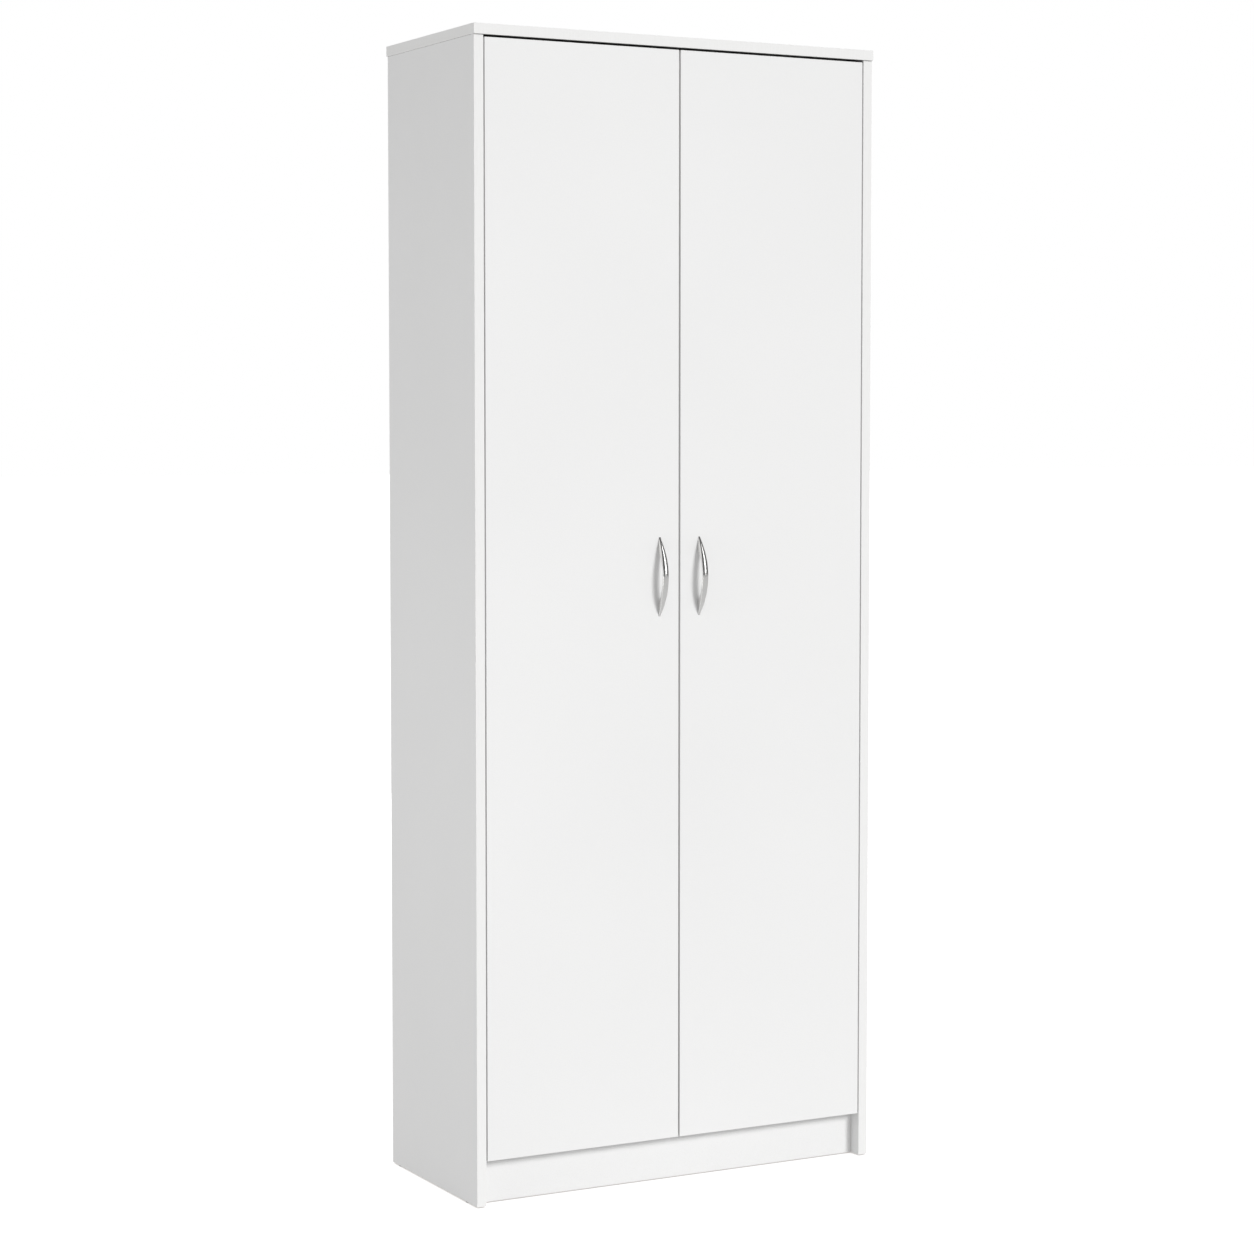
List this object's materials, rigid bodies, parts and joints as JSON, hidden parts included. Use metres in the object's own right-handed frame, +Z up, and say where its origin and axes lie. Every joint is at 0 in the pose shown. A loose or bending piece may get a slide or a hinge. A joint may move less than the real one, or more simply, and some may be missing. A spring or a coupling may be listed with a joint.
{
  "type": "pantry cabinet",
  "caption": "Tall white two-door pantry cabinet with inset doors on concealed hinges, slim bow handles, recessed plinth, and fixed and adjustable inner shelves.",
  "frame": {"origin": "centre of the footprint of the overall box, on the floor", "axes": "+Z up, the doors face -Y, +X to the right as seen from the front"},
  "size_m": [0.71, 0.345, 1.8],
  "materials": {
    "melamine_white": "white melamine face, fine matt texture, white edge band",
    "door_white": "white melamine face, fine matt texture, white edge band",
    "hardboard": "brown hardboard, white lacquer on the inner side",
    "handle_metal": "polished nickel",
    "nail_steel": "bright steel",
    "beech_dowel": "plain beech",
    "cap_white": "moulded",
    "zinc_casting": "zinc casting, satin nickel",
    "plated_steel": "nickel-plated steel",
    "glide_plastic": "moulded",
    "bumper_silicone": "translucent"
  },
  "bodies": {
    "carcass": {"back_nails": "nail_steel", "back_sheet_lower": "hardboard", "back_sheet_upper": "hardboard", "bottom_panel": "melamine_white", "cam_bolts": "plated_steel", "cam_caps": "cap_white", "cam_locks": "zinc_casting", "door_bumpers": "bumper_silicone", "fixed_shelf": "melamine_white", "glides": "glide_plastic", "left_adjusting_screws": "plated_steel", "left_arm_pins": "plated_steel", "left_hinge_arms": "plated_steel", "left_hinge_plates": "zinc_casting", "left_plate_screws": "plated_steel", "left_side_panel": "melamine_white", "plinth": "melamine_white", "right_adjusting_screws": "plated_steel", "right_arm_pins": "plated_steel", "right_hinge_arms": "plated_steel", "right_hinge_plates": "zinc_casting", "right_plate_screws": "plated_steel", "right_side_panel": "melamine_white", "shelf_pins": "plated_steel", "top_panel": "melamine_white", "wall_bracket_screws": "plated_steel", "wall_brackets": "plated_steel", "wooden_dowels": "beech_dowel"},
    "left_outer_links": {"left_outer_links": "plated_steel"},
    "left_inner_links": {"left_inner_links": "plated_steel"},
    "left_door": {"left_door": "door_white", "left_handle": "handle_metal", "left_handle_screws": "plated_steel", "left_hinge_cups": "zinc_casting", "left_cup_pins": "plated_steel", "left_cup_screws": "plated_steel"},
    "right_outer_links": {"right_outer_links": "plated_steel"},
    "right_inner_links": {"right_inner_links": "plated_steel"},
    "right_door": {"right_door": "door_white", "right_handle": "handle_metal", "right_handle_screws": "plated_steel", "right_hinge_cups": "zinc_casting", "right_cup_pins": "plated_steel", "right_cup_screws": "plated_steel"},
    "adjustable_shelf_1": {"adjustable_shelf_1": "melamine_white"},
    "adjustable_shelf_2": {"adjustable_shelf_2": "melamine_white"},
    "adjustable_shelf_3": {"adjustable_shelf_3": "melamine_white"}
  },
  "joints": [
    {"name": "left_outer_link_pivot", "type": "hinge", "parent": "carcass", "child": "left_outer_links", "pos_m": [-0.3033, -0.1145, 0], "axis": [0, 0, -1], "range_deg": [-29, 0]},
    {"name": "left_door_hinge", "type": "hinge", "parent": "left_outer_links", "child": "left_door", "pos_m": [-0.3227, -0.1374, 0], "axis": [0, 0, -1], "range_deg": [0, 123.38]},
    {"name": "left_inner_link_pivot", "type": "hinge", "parent": "carcass", "child": "left_inner_links", "pos_m": [-0.3017, -0.1384, 0], "axis": [0, 0, -1], "range_deg": [-42, 0]},
    {"name": "right_outer_link_pivot", "type": "hinge", "parent": "carcass", "child": "right_outer_links", "pos_m": [0.3033, -0.1145, 0], "axis": [0, 0, 1], "range_deg": [-29, 0]},
    {"name": "right_door_hinge", "type": "hinge", "parent": "right_outer_links", "child": "right_door", "pos_m": [0.3227, -0.1374, 0], "axis": [0, 0, 1], "range_deg": [0, 123.38]},
    {"name": "right_inner_link_pivot", "type": "hinge", "parent": "carcass", "child": "right_inner_links", "pos_m": [0.3017, -0.1384, 0], "axis": [0, 0, 1], "range_deg": [-42, 0]},
    {"name": "shelf_1_lift", "type": "slide", "parent": "carcass", "child": "adjustable_shelf_1", "axis": [0, 0, 1], "range_m": [0, 0.012]},
    {"name": "shelf_2_lift", "type": "slide", "parent": "carcass", "child": "adjustable_shelf_2", "axis": [0, 0, 1], "range_m": [0, 0.012]},
    {"name": "shelf_3_lift", "type": "slide", "parent": "carcass", "child": "adjustable_shelf_3", "axis": [0, 0, 1], "range_m": [0, 0.012]}
  ],
  "couplings": [
    {"joint": "left_outer_link_pivot", "follows": "left_door_hinge", "ratio": -0.23},
    {"joint": "left_inner_link_pivot", "follows": "left_door_hinge", "ratio": -0.33},
    {"joint": "right_outer_link_pivot", "follows": "right_door_hinge", "ratio": -0.23},
    {"joint": "right_inner_link_pivot", "follows": "right_door_hinge", "ratio": -0.33}
  ]
}
